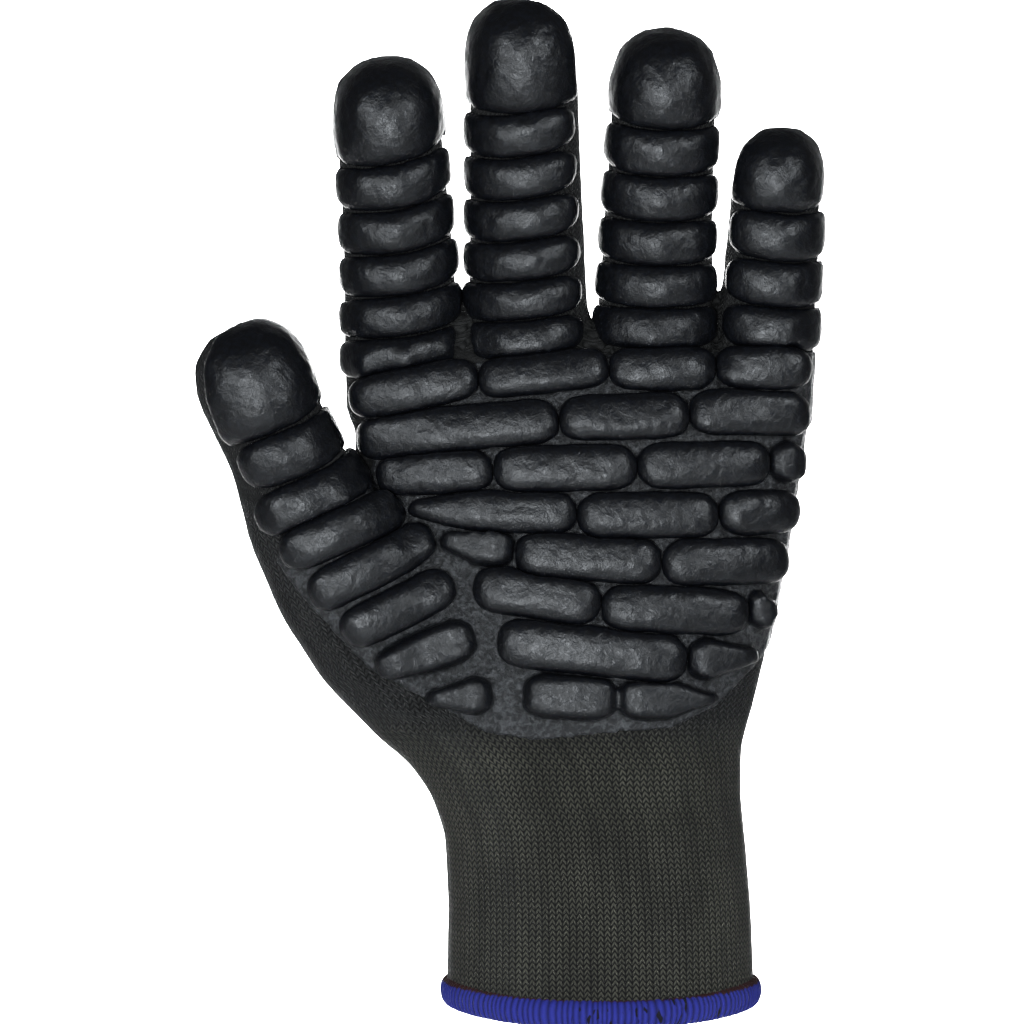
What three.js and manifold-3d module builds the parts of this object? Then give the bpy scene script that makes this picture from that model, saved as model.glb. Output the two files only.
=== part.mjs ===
// Knitted work glove for a left hand, worn shape: palm faces -Y, fingers point up, thumb at -X.
// Seamless knitted liner, overlocked hem, and thick soft rubber pads and ribs on the palm side.
// Millimetres, +Z up. The origin is the centre of the wrist opening, level with the hem's lower edge.
import * as THREE from 'three';
import Module from 'manifold-3d';
import { mergeVertices } from 'three/addons/utils/BufferGeometryUtils.js';

const wasm = await Module();
wasm.setup();

// Clearances and walls
const gap = 0.3;
const knitWall = 1.8;
const filmThickness = 0.8;
const groove = 0.9;

// Wrist and palm of the liner
const knuckleRise = 164.5;
const cuffRise = 66;
const cuffWidth = 76;
const cuffDepth = 50;
const palmDepth = 38;
const indexReach = 63.5;
const webGap = 2.2;
const hemHeight = 5.2;
const hemRoll = 1.9;
const hemDip = 2.6;

// Fingers of the liner: length from root to tip, width and depth at the root
const indexLength = 71.7;
const middleLength = 86.7;
const ringLength = 78.6;
const littleLength = 55.8;
const thumbLength = 123;
const indexWidth = 28.5;
const middleWidth = 29.8;
const ringWidth = 28.5;
const littleWidth = 23;
const thumbWidth = 33;
const fingerDepth = 25;
const littleDepth = 21.5;
const thumbDepth = 31;

// Rubber: thickness of ribs over the middle of a finger and at their ends, palm bars, tip pads
const ribThickness = 5.2;
const ribEnd = 1.1;
const barThickness = 4.8;
const tipPadLength = 26;
const rowPitch = 11.6;
const fingerWrap = 92;
const ribBow = 2.2;
const ribFade = 0.08;
const padRim = 0.7;

// Facets
const fingerSides = 12;
const innerSides = 8;
const bodySides = 24;
const innerBodySides = 14;
const centrelineSteps = 48;
const ringSpacing = 17;

const fingerSquareness = 2.25;
const bodySquareness = 2.45;
const domeSquareness = 2.35;

const knuckleWidth = indexWidth + middleWidth + ringWidth + littleWidth + 3 * webGap;

// Cross-sections of the cuff: rise is a share of cuffRise, left and right of cuffWidth,
// front and back of cuffDepth
const cuffSections = [
  { rise: 0, left: 0.5, right: 0.505, front: 0.5, back: 0.5 },
  { rise: 0.33, left: 0.491, right: 0.487, front: 0.49, back: 0.49 },
  { rise: 0.63, left: 0.503, right: 0.467, front: 0.475, back: 0.475 },
  { rise: 0.8, left: 0.548, right: 0.454, front: 0.455, back: 0.455 },
  { rise: 1, left: 0.658, right: 0.459, front: 0.44, back: 0.42 },
];

// Cross-sections of the palm: rise is a share of the height between cuff and knuckles,
// left and right of knuckleWidth, front and back of palmDepth, fall of webFall
const palmSections = [
  { rise: 0.13, left: 0.474, right: 0.33, front: 0.56, back: 0.5, fall: 0 },
  { rise: 0.33, left: 0.518, right: 0.37, front: 0.53, back: 0.48, fall: 0 },
  { rise: 0.55, left: 0.523, right: 0.404, front: 0.46, back: 0.45, fall: 0 },
  { rise: 0.8, left: 0.523, right: 0.436, front: 0.41, back: 0.42, fall: 0 },
  { rise: 1, left: 0.541, right: 0.436, front: 0.31, back: 0.3, fall: 0.45 },
  { rise: 1.07, left: 0.527, right: 0.43, front: 0.24, back: 0.23, fall: 0.8 },
  { rise: 1.13, left: 0.497, right: 0.405, front: 0.14, back: 0.15, fall: 1 },
];
// Rows below the finger roots where the thumb leaves the palm, and where the knuckles end
const crotchDrop = 2.2;
const knuckleDrop = 3.4;
// The web between the fingers lies this much lower at the little finger's side
const webFall = 20;

// Girth along a finger, as shares of its width and depth at the root
const fingerGirth = [
  { along: 0, width: 1, depth: 1 },
  { along: 0.3, width: 0.93, depth: 0.94 },
  { along: 0.6, width: 0.89, depth: 0.88 },
  { along: 1, width: 0.84, depth: 0.8 },
];
const littleGirth = [
  { along: 0, width: 1, depth: 1 },
  { along: 0.5, width: 0.96, depth: 0.93 },
  { along: 1, width: 0.85, depth: 0.83 },
];
const thumbGirth = [
  { along: 0, width: 0.62, depth: 0.8 },
  { along: 0.14, width: 0.85, depth: 0.98 },
  { along: 0.3, width: 1.07, depth: 1 },
  { along: 0.48, width: 1.1, depth: 0.93 },
  { along: 0.62, width: 0.96, depth: 0.83 },
  { along: 0.74, width: 0.77, depth: 0.75 },
  { along: 0.85, width: 0.84, depth: 0.74 },
  { along: 1, width: 0.85, depth: 0.68 },
];

const degrees = Math.PI / 180;
const left = -indexReach;

// Places on the palm: across is a share of knuckleWidth from the index side, and drop counts
// row pitches down from the finger roots
function palmX(across) {
  return left + across * knuckleWidth;
}

function palmZ(drop) {
  return knuckleRise - drop * rowPitch;
}

const indexX = left + indexWidth / 2;
const middleX = left + indexWidth + webGap + middleWidth / 2;
const ringX = left + indexWidth + middleWidth + 2 * webGap + ringWidth / 2;
const littleX = left + knuckleWidth - littleWidth / 2;

// lean and leanTip turn a finger sideways at its root and its tip, pitch and pitchTip bend it
// towards the palm, roll turns its rubber around it, wrap is the reach of its ribs as a share of
// fingerWrap, open is how far its pad's edge lies in front of its middle as a share of its depth,
// slant and bow tilt and sag its ribs, and cut is where its sleeve leaves the palm of the liner.
// pad is a share of tipPadLength, run says how far the ribs pass the root as a share of
// rowPitch, and cut is a share of the length.
const fingers = [
  {
    name: 'index', root: new THREE.Vector3(indexX, -0.5, knuckleRise), length: indexLength,
    width: indexWidth, depth: fingerDepth, girth: fingerGirth, lean: -2.2, leanTip: -5,
    pitch: 3, pitchTip: 19, roll: 4, wrap: 0.98, open: -0.06, ribs: 5, pad: 0.86, run: 0.48,
    slant: 7, bow: 1, cut: 0.19,
  },
  {
    name: 'middle', root: new THREE.Vector3(middleX, -0.5, knuckleRise), length: middleLength,
    width: middleWidth, depth: fingerDepth, girth: fingerGirth, lean: -0.6, leanTip: -2,
    pitch: 3, pitchTip: 18, roll: -20, wrap: 0.84, open: 0.08, ribs: 6, pad: 0.97, run: 0.1,
    slant: 3, bow: 1, cut: 0.155,
  },
  {
    name: 'ring', root: new THREE.Vector3(ringX, -0.5, knuckleRise), length: ringLength,
    width: ringWidth, depth: fingerDepth, girth: fingerGirth, lean: 1.5, leanTip: 3,
    pitch: 3, pitchTip: 18, roll: -4, wrap: 0.98, open: -0.04, ribs: 5, pad: 0.81, run: -0.1,
    slant: 0.5, bow: 0.8, cut: 0.16,
  },
  {
    name: 'little', root: new THREE.Vector3(littleX, -0.5, knuckleRise - 1), length: littleLength,
    width: littleWidth, depth: littleDepth, girth: littleGirth, lean: 3, leanTip: 2.7,
    pitch: 3, pitchTip: 17, roll: 18, wrap: 0.9, open: 0.08, ribs: 3, pad: 0.7, run: -0.15,
    slant: 0, bow: 0.7, cut: 0.09,
  },
];
// The thumb passes the upper end of its bars on the palm at a share of its length, its bare part
const bareThumb = 0.595;
const thumbRoot = new THREE.Vector3(palmX(-0.055), 1, palmZ(3.7))
  .add(new THREE.Vector3(0.5, 0, -0.805).multiplyScalar(bareThumb * thumbLength));
const thumb = {
  name: 'thumb', root: thumbRoot, length: thumbLength,
  width: thumbWidth, depth: thumbDepth, girth: thumbGirth, lean: -38, leanTip: -17.8,
  pitch: 7, pitchTip: 13, roll: 34, wrap: 0.86, open: 0.07, ribs: 2, pad: 0.97, run: 0,
  slant: 0, bow: 0.4, cut: 0.705,
};

// Palm bars in rows from the finger roots down. from and to are shares of knuckleWidth from the
// index side, dropFrom and dropTo say how many row pitches each end lies below the finger roots,
// tall is a share of rowPitch, and taper narrows an end to a share of its height.
const palmBars = [
  { row: 1, from: 0.02, to: 0.286, dropFrom: 1.1, dropTo: 0.6, tall: 0.95 },
  { row: 1, from: 0.286, to: 0.56, dropFrom: 0.7, dropTo: 0.42, tall: 0.9 },
  { row: 1, from: 0.56, to: 0.787, dropFrom: 0.46, dropTo: 0.45, tall: 0.95 },
  { row: 1, from: 0.787, to: 0.984, dropFrom: 0.43, dropTo: 0.39, tall: 0.97 },
  { row: 2, from: 0.035, to: 0.456, dropFrom: 1.9, dropTo: 1.54, tall: 1 },
  { row: 2, from: 0.456, to: 0.73, dropFrom: 1.52, dropTo: 1.45, tall: 1.02 },
  { row: 2, from: 0.73, to: 0.982, dropFrom: 1.39, dropTo: 1.36, tall: 1.02 },
  { row: 3, from: 0.07, to: 0.318, dropFrom: 2.7, dropTo: 2.59, tall: 0.95 },
  { row: 3, from: 0.318, to: 0.62, dropFrom: 2.58, dropTo: 2.53, tall: 1.03 },
  { row: 3, from: 0.62, to: 0.898, dropFrom: 2.52, dropTo: 2.43, tall: 1.03 },
  { row: 3, from: 0.898, to: 0.974, dropFrom: 2.43, dropTo: 2.38, tall: 0.98 },
  { row: 4, from: 0.139, to: 0.493, dropFrom: 3.42, dropTo: 3.52, tall: 0.93, taperFrom: 0.45 },
  { row: 4, from: 0.493, to: 0.79, dropFrom: 3.57, dropTo: 3.53, tall: 1.02 },
  { row: 4, from: 0.79, to: 0.958, dropFrom: 3.52, dropTo: 3.42, tall: 1 },
  { row: 5, from: 0.205, to: 0.362, dropFrom: 4.08, dropTo: 4.27, tall: 0.9, taperFrom: 0.6 },
  { row: 5, from: 0.362, to: 0.67, dropFrom: 4.34, dropTo: 4.57, tall: 1.02 },
  { row: 5, from: 0.67, to: 0.935, dropFrom: 4.57, dropTo: 4.49, tall: 1.03 },
  { row: 6, from: 0.276, to: 0.543, dropFrom: 5.04, dropTo: 5.45, tall: 1.03 },
  { row: 6, from: 0.543, to: 0.85, dropFrom: 5.48, dropTo: 5.63, tall: 1.03 },
  { row: 6, from: 0.85, to: 0.912, dropFrom: 5.6, dropTo: 5.47, tall: 1, taperTo: 0.6 },
  { row: 7, from: 0.325, to: 0.722, dropFrom: 6.18, dropTo: 6.62, tall: 1.08 },
  { row: 7, from: 0.722, to: 0.872, dropFrom: 6.62, dropTo: 6.48, tall: 0.98, taperTo: 0.5 },
  { row: 8, from: 0.378, to: 0.578, dropFrom: 7.32, dropTo: 7.42, tall: 1 },
  { row: 8, from: 0.578, to: 0.79, dropFrom: 7.42, dropTo: 7.42, tall: 0.94, taperTo: 0.35 },
];

// Thumb bars on the ball of the thumb, with the same columns
const thumbBars = [
  { from: -0.125, to: 0.128, dropFrom: 4.4, dropTo: 3.3, tall: 0.96 },
  { from: -0.067, to: 0.192, dropFrom: 5.28, dropTo: 3.95, tall: 0.96 },
  { from: 0.0, to: 0.236, dropFrom: 6.05, dropTo: 4.95, tall: 0.97 },
  { from: 0.07, to: 0.28, dropFrom: 6.77, dropTo: 6.07, tall: 0.97, taperFrom: 0.75 },
  { from: 0.172, to: 0.318, dropFrom: 7.42, dropTo: 7.32, tall: 0.9, taperFrom: 0.45 },
];

// Edge of the rubber film seen from the palm side, with the same columns, clockwise
const filmEdge = [
  { across: 0.03, drop: 0.75 },
  { across: 0.3, drop: 0.25 },
  { across: 0.6, drop: 0.08 },
  { across: 1.1, drop: 0.0 },
  { across: 1.1, drop: 4.6 },
  { across: 0.93, drop: 6.1 },
  { across: 0.86, drop: 6.9 },
  { across: 0.79, drop: 7.6 },
  { across: 0.69, drop: 8.05 },
  { across: 0.55, drop: 8.15 },
  { across: 0.42, drop: 8.3 },
  { across: 0.3, drop: 8.15 },
  { across: 0.235, drop: 7.75 },
  { across: 0.145, drop: 7.3 },
  { across: 0.055, drop: 6.8 },
  { across: -0.016, drop: 6.05 },
  { across: -0.083, drop: 5.3 },
  { across: -0.142, drop: 4.5 },
  { across: -0.12, drop: 3.95 },
  { across: 0.0, drop: 3.1 },
  { across: 0.06, drop: 2.5 },
];

// Rings of a fingertip's dome, in degrees from its widest place to its end
const domeSlopes = [2, 36, 67];

// Solid from an indexed point list
function solid(points, faces) {
  return new wasm.Manifold(new wasm.Mesh({
    numProp: 3,
    vertProperties: new Float32Array(points.flatMap((p) => [p.x, p.y, p.z])),
    triVerts: new Uint32Array(faces.flat()),
  }));
}

// Solid through rings of equal length, which turn counter-clockwise seen from the far end.
// A ring of one point closes the loft in a tip.
function loft(rings) {
  const points = [];
  const faces = [];
  const starts = rings.map((ring) => {
    points.push(...ring);
    return points.length - ring.length;
  });
  for (let i = 0; i + 1 < rings.length; i += 1) {
    const count = rings[i].length;
    const tip = rings[i + 1].length === 1;
    for (let j = 0; j < count; j += 1) {
      const next = (j + 1) % count;
      if (tip) {
        faces.push([starts[i] + j, starts[i] + next, starts[i + 1]]);
      } else {
        faces.push([starts[i] + j, starts[i] + next, starts[i + 1] + next]);
        faces.push([starts[i] + j, starts[i + 1] + next, starts[i + 1] + j]);
      }
    }
  }
  const centre = (ring) => ring.reduce((sum, p) => sum.add(p), new THREE.Vector3())
    .divideScalar(ring.length);
  const first = rings[0];
  points.push(centre(first));
  for (let j = 0; j < first.length; j += 1) {
    faces.push([points.length - 1, starts[0] + ((j + 1) % first.length), starts[0] + j]);
  }
  const last = rings[rings.length - 1];
  if (last.length > 1) {
    const start = starts[rings.length - 1];
    points.push(centre(last));
    for (let j = 0; j < last.length; j += 1) {
      faces.push([points.length - 1, start + j, start + ((j + 1) % last.length)]);
    }
  }
  return solid(points, faces);
}

// Solid of a closed three.js geometry
function fromGeometry(geometry) {
  const bare = geometry.clone();
  bare.deleteAttribute('normal');
  bare.deleteAttribute('uv');
  const merged = mergeVertices(bare, 1e-4);
  return new wasm.Manifold(new wasm.Mesh({
    numProp: 3,
    vertProperties: new Float32Array(merged.attributes.position.array),
    triVerts: new Uint32Array(merged.index.array),
  }));
}

function toGeometry(shape) {
  const mesh = shape.getMesh();
  const geometry = new THREE.BufferGeometry();
  const positions = new Float32Array(mesh.numVert * 3);
  for (let i = 0; i < mesh.numVert; i += 1) {
    for (let k = 0; k < 3; k += 1) {
      positions[3 * i + k] = mesh.vertProperties[mesh.numProp * i + k];
    }
  }
  geometry.setAttribute('position', new THREE.BufferAttribute(positions, 3));
  geometry.setIndex(new THREE.BufferAttribute(new Uint32Array(mesh.triVerts), 1));
  geometry.computeVertexNormals();
  return geometry;
}

function joined(shapes) {
  return shapes.reduce((sum, shape) => sum.add(shape));
}

// The main body of a cut shape, without the slivers that a cut leaves beside it or on its edges
const sliver = 0.004;
function trimmed(shape) {
  const main = shape.decompose()
    .reduce((best, part) => (part.volume() > best.volume() ? part : best));
  return main.asOriginal().simplify(sliver);
}

function mix(a, b, share) {
  return a + (b - a) * share;
}

// Value of a column at a place between the rows of a table
function between(table, key, place, column) {
  const last = table.length - 1;
  const next = table.findIndex((row) => row[key] > place);
  if (next === 0) {
    return table[0][column];
  }
  if (next === -1) {
    return table[last][column];
  }
  const low = table[next - 1];
  const high = table[next];
  return mix(low[column], high[column], (place - low[key]) / (high[key] - low[key]));
}

// Point of a rounded square outline at an angle from the front towards +X
function rounded(angle, squareness) {
  const across = Math.sin(angle);
  const front = Math.cos(angle);
  const power = 2 / squareness;
  return {
    across: Math.sign(across) * Math.abs(across) ** power,
    front: Math.sign(front) * Math.abs(front) ** power,
  };
}

// Cuff and palm
const palmRise = knuckleRise - cuffRise;
const bodyRows = [
  ...cuffSections.map((row) => ({
    z: hemHeight + row.rise * (cuffRise - hemHeight),
    dip: (1 - row.rise) ** 2,
    fall: 0,
    left: row.left * cuffWidth,
    right: row.right * cuffWidth,
    front: row.front * cuffDepth,
    back: row.back * cuffDepth,
  })),
  ...palmSections.map((row) => ({
    z: cuffRise + row.rise * palmRise,
    dip: 0,
    fall: row.fall * webFall,
    left: row.left * knuckleWidth,
    right: row.right * knuckleWidth,
    front: row.front * palmDepth,
    back: row.back * palmDepth,
    web: row.rise > 1,
  })),
];

// The opening's rim is lower at the palm side and the back than at its two edges
function rimDrop(angle) {
  return hemDip * (1 - Math.cos(angle) ** 2);
}

function bodyRing(row, grow, sides) {
  const middle = (row.right - row.left) / 2;
  const half = (row.right + row.left) / 2;
  const ring = [];
  for (let i = 0; i < sides; i += 1) {
    const angle = (i / sides) * 2 * Math.PI;
    const at = rounded(angle, bodySquareness);
    const depth = (at.front > 0 ? row.front : row.back) + grow;
    const x = middle + (half + grow) * at.across;
    const fall = row.fall * ((x + indexReach) / knuckleWidth) ** 2;
    const rim = row.dip * rimDrop(angle);
    ring.push(new THREE.Vector3(x, -depth * at.front, row.z + rim - fall + (row.web ? grow : 0)));
  }
  return ring;
}

function body(grow, sides, below) {
  const rows = below ? [{ ...bodyRows[0], z: -below }, ...bodyRows] : bodyRows;
  return loft(rows.map((row) => bodyRing(row, grow, sides)));
}

// Frame of a finger at a distance from its root: centre, direction, across and palm side
function fingerFrames(finger) {
  const frames = [];
  const centre = finger.root.clone();
  const step = finger.length / centrelineSteps;
  for (let i = 0; i <= centrelineSteps; i += 1) {
    const share = i / centrelineSteps;
    const lean = mix(finger.lean, finger.leanTip, share) * degrees;
    const pitch = mix(finger.pitch, finger.pitchTip, share) * degrees;
    const along = new THREE.Vector3(
      Math.sin(lean) * Math.cos(pitch), -Math.sin(pitch), Math.cos(lean) * Math.cos(pitch),
    );
    const across = new THREE.Vector3(Math.cos(lean), 0, -Math.sin(lean));
    frames.push({ centre: centre.clone(), along, across, front: across.clone().cross(along) });
    centre.addScaledVector(along, step);
  }
  return frames;
}

for (const finger of [...fingers, thumb]) {
  finger.frames = fingerFrames(finger);
}

function frameAt(finger, distance) {
  const place = (distance / finger.length) * centrelineSteps;
  const index = Math.min(Math.max(Math.floor(place), 0), centrelineSteps - 1);
  const share = place - index;
  const low = finger.frames[index];
  const high = finger.frames[index + 1];
  const held = Math.min(Math.max(share, 0), 1);
  return {
    centre: low.centre.clone().lerp(high.centre, share),
    along: low.along.clone().lerp(high.along, held).normalize(),
    across: low.across.clone().lerp(high.across, held).normalize(),
    front: low.front.clone().lerp(high.front, held).normalize(),
  };
}

// Point on a finger's surface, grown by side, front and tip, at an angle from its palm side
function fingerPoint(finger, distance, angle, grow) {
  const frame = frameAt(finger, distance);
  const share = distance / finger.length;
  const dome = (between(finger.girth, 'along', 1, 'width') * finger.width) / 2 + grow.tip;
  const left = finger.length + grow.tip - distance;
  const round = left < dome
    ? Math.max(1 - (1 - left / dome) ** domeSquareness, 0) ** (1 / domeSquareness) : 1;
  const width = between(finger.girth, 'along', share, 'width') * finger.width;
  const depth = between(finger.girth, 'along', share, 'depth') * finger.depth;
  const at = rounded(angle, fingerSquareness);
  return frame.centre
    .addScaledVector(frame.across, (width / 2 + grow.side) * round * at.across)
    .addScaledVector(frame.front, (depth / 2 + grow.front) * round * at.front);
}

// Finger with a domed tip; all but the thumb run down into the palm
const rootSink = 16;
function fingerSolid(finger, grow, sides) {
  const dome = (between(finger.girth, 'along', 1, 'width') * finger.width) / 2 + grow.tip;
  const shoulder = finger.length + grow.tip - dome;
  const start = -(finger === thumb ? 0 : rootSink) - grow.side;
  const steps = Math.max(3, Math.round((finger.length - start) / ringSpacing) - 1);
  const rings = [];
  const ringAt = (distance) => Array.from({ length: sides }, (unused, i) => (
    fingerPoint(finger, distance, (i / sides) * 2 * Math.PI, grow)
  ));
  for (let i = 0; i < steps; i += 1) {
    rings.push(ringAt(mix(start, shoulder, i / steps)));
  }
  for (const slope of domeSlopes) {
    rings.push(ringAt(shoulder + dome * Math.sin(slope * degrees)));
  }
  rings.push([fingerPoint(finger, finger.length + grow.tip, 0, grow)]);
  return loft(rings);
}

function even(grow) {
  return { side: grow, front: grow, tip: grow };
}

// Big block on the side of a plane that its normal points to
const blockSize = 700;
function beyondPlane(point, normal) {
  const block = new THREE.BoxGeometry(blockSize, blockSize, blockSize);
  const turn = new THREE.Quaternion().setFromUnitVectors(new THREE.Vector3(0, 0, 1), normal);
  block.translate(0, 0, blockSize / 2).applyQuaternion(turn);
  return fromGeometry(block.translate(point.x, point.y, point.z));
}

// The same for a plane square to a finger, towards its tip or its root
function beyond(finger, distance, sign = 1) {
  const frame = frameAt(finger, distance);
  return beyondPlane(frame.centre, frame.along.multiplyScalar(sign));
}

// Two sides of a cut through a shape, a gap apart
function split(shape, point, normal) {
  const step = normal.clone().multiplyScalar(gap / 2);
  return [
    shape.intersect(beyondPlane(point.clone().add(step), normal)),
    shape.intersect(beyondPlane(point.clone().sub(step), normal.clone().negate())),
  ];
}

const allFingers = [...fingers, thumb];

// Whole hand form, grown evenly
function handForm(grow, bodyFacets, fingerFacets, below) {
  return joined([
    body(grow, bodyFacets, below),
    ...allFingers.map((finger) => fingerSolid(finger, even(grow), fingerFacets)),
  ]);
}

const hollow = handForm(-knitWall, innerBodySides, innerSides, 2 * hemHeight);

// Liner: sleeves for the fingers and thumb, palm and cuff
const solids = {};
const sleeveBlocks = [];
const stubs = [];
for (const finger of allFingers) {
  const cut = finger.cut * finger.length;
  const outer = fingerSolid(finger, even(0), fingerSides);
  solids[`knit_${finger.name}`] = outer.subtract(hollow).intersect(beyond(finger, cut + gap / 2));
  stubs.push(outer.intersect(beyond(finger, cut - gap / 2, -1)));
  sleeveBlocks.push(fingerSolid(finger, even(gap), fingerSides)
    .intersect(beyond(finger, cut - gap / 2)));
}
const liner = joined([body(0, bodySides), ...stubs])
  .subtract(hollow)
  .subtract(joined(sleeveBlocks));

// The liner's palm is cut into panels: the ball of the thumb, then palm and knuckles, each with
// a front and a back
const upwards = new THREE.Vector3(0, 0, 1);
const frontwards = new THREE.Vector3(0, -1, 0);
const crotch = new THREE.Vector3(palmX(0.01), 0, palmZ(crotchDrop));
const ballFoot = new THREE.Vector3(palmX(0.19), 0, cuffRise);
const ballwards = crotch.clone().sub(ballFoot).normalize().cross(frontwards);
if (ballwards.x > 0) {
  ballwards.negate();
}
const [aboveCuff, cuff] = split(liner, ballFoot, upwards);
const [ball, flatHand] = split(aboveCuff, crotch, ballwards);
const [knuckles, palm] = split(flatHand, new THREE.Vector3(0, 0, palmZ(knuckleDrop)), upwards);
const middlePlane = new THREE.Vector3(0, 0, 0);
const [knucklesFront, knucklesBack] = split(knuckles, middlePlane, frontwards);
const [palmFront, palmBack] = split(palm, middlePlane, frontwards);
Object.assign(solids, {
  knit_cuff: cuff,
  knit_ball: ball,
  knit_palm: palmFront,
  knit_palm_back: palmBack,
  knit_knuckles: knucklesFront,
  knit_knuckles_back: knucklesBack,
});

// Overlocked hem, a rolled ring under the cuff's edge
const hemProfile = [
  { rise: 0, roll: 0.35 },
  { rise: 0.25, roll: 0.9 },
  { rise: 0.7, roll: 1 },
  { rise: 1, roll: 0.4 },
];
function hemRing(rise, grow) {
  const row = { ...bodyRows[0], z: rise * (hemHeight - gap) };
  return bodyRing(row, grow, bodySides);
}
const hemOuter = loft(hemProfile.map((row) => hemRing(row.rise, row.roll * hemRoll)));
const hemInner = loft([-1, 2].map((rise) => hemRing(rise, -knitWall)));
solids.cuff_hem = hemOuter.subtract(hemInner);

// Rubber film on the palm
const filmTop = gap + filmThickness;
const padSeat = filmTop + gap;

const filmOutline = new THREE.Shape(
  filmEdge.map((row) => new THREE.Vector2(palmX(row.across), palmZ(row.drop))),
);
const filmReach = fromGeometry(
  new THREE.ExtrudeGeometry(filmOutline, { depth: blockSize, bevelEnabled: false })
    .rotateX(Math.PI / 2),
);
const filmUnderside = handForm(gap, bodySides, fingerSides);
const film = handForm(filmTop, bodySides, fingerSides)
  .subtract(filmUnderside)
  .intersect(filmReach);

// Ribs that clasp a finger: half rings with a pillowed section
const ribSection = [
  { along: 0.5, height: 0 },
  { along: 0.5, height: 0.5 },
  { along: 0.34, height: 0.96 },
  { along: -0.34, height: 0.96 },
  { along: -0.5, height: 0.5 },
  { along: -0.5, height: 0 },
];
const ribStations = [
  { turn: -1, height: 0.35, width: 0.42 },
  { turn: -0.89, height: 0.82, width: 0.76 },
  { turn: -0.74, height: 0.98, width: 0.95 },
  { turn: -0.42, height: 1, width: 1 },
  { turn: 0, height: 1, width: 1 },
  { turn: 0.42, height: 1, width: 1 },
  { turn: 0.74, height: 0.98, width: 0.95 },
  { turn: 0.89, height: 0.82, width: 0.76 },
  { turn: 1, height: 0.35, width: 0.42 },
];
const ribSeat = 2.4 * gap;

function rib(finger, centre, width) {
  const rings = ribStations.map((station) => {
    const turn = station.turn * finger.wrap * fingerWrap;
    const angle = (finger.roll + turn) * degrees;
    const across = Math.sin(turn * degrees);
    const slant = (Math.tan(finger.slant * degrees) * finger.width * across) / 2;
    const bow = finger.bow * ribBow * (across ** 2 - 0.5);
    return ribSection.map((point) => {
      const distance = centre + slant + bow + point.along * width * station.width;
      const height = point.height * station.height;
      return fingerPoint(finger, distance, angle, {
        side: ribSeat + height * ribEnd,
        front: ribSeat + height * ribThickness,
        tip: blockSize,
      });
    });
  });
  return loft(rings);
}

// Fingertip pad: a thick half dome over the palm side of the tip
const tipEdge = [
  { along: 0, height: 0.35 },
  { along: 0.1, height: 1 },
];
function tipPad(finger) {
  const length = finger.pad * tipPadLength;
  const start = finger.length - length + groove / 2;
  const end = finger.length + ribSeat + ribEnd;
  const dome = (between(finger.girth, 'along', 1, 'width') * finger.width) / 2 + ribEnd;
  const grown = (height) => ({
    side: ribSeat + height * padRim,
    front: ribSeat + height * ribThickness,
    tip: ribSeat + ribEnd,
  });
  const ringAt = (distance, height) => Array.from({ length: fingerSides }, (unused, i) => {
    const angle = (i / fingerSides) * 2 * Math.PI;
    const across = Math.sin(angle);
    const share = Math.max(0, Math.min(1, (end - distance) / length));
    const slant = (Math.tan(finger.slant * degrees) * finger.width * across) / 2;
    const bow = finger.bow * ribBow * (across ** 2 - 0.5);
    return fingerPoint(finger, distance + (slant + bow) * share ** 2, angle, grown(height));
  });
  const rings = tipEdge.map((row) => ringAt(start + row.along * length, row.height));
  const shoulder = end - dome;
  for (const slope of domeSlopes) {
    rings.push(ringAt(shoulder + dome * Math.sin(slope * degrees), 1));
  }
  rings.push([fingerPoint(finger, end, 0, grown(1))]);
  const frame = frameAt(finger, finger.length);
  const facing = frame.front.clone().applyAxisAngle(frame.along, finger.roll * degrees);
  const edge = frameAt(finger, finger.length - length / 2).centre
    .addScaledVector(facing, finger.open * finger.depth);
  return loft(rings)
    .subtract(fingerSolid(finger, even(ribSeat), fingerSides))
    .intersect(beyondPlane(edge, facing));
}

// Seat of the palm bars: the hand form grown to the film's face, looked at from the palm side
const seatForm = handForm(padSeat, bodySides, fingerSides);
const seatMesh = new THREE.Mesh(toGeometry(handForm(padSeat + 2 * gap, bodySides, fingerSides)));
seatMesh.material.side = THREE.DoubleSide;
const ray = new THREE.Raycaster();
function seatPoint(x, z) {
  ray.set(new THREE.Vector3(x, -blockSize, z), new THREE.Vector3(0, 1, 0));
  const hits = ray.intersectObject(seatMesh);
  return hits.length > 0 ? hits[0].point : new THREE.Vector3(x, 0, z);
}

// Bars: pillowed strips with round ends that lie on the palm
const barSection = [
  { across: 0.5, height: 0 },
  { across: 0.5, height: 0.5 },
  { across: 0.37, height: 0.95 },
  { across: -0.37, height: 0.95 },
  { across: -0.5, height: 0.5 },
  { across: -0.5, height: 0 },
];
const barStations = [
  { end: 0, width: 0.5, height: 0.42 },
  { end: 0.17, width: 0.82, height: 0.86 },
  { end: 0.42, width: 1, height: 1 },
];

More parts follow.
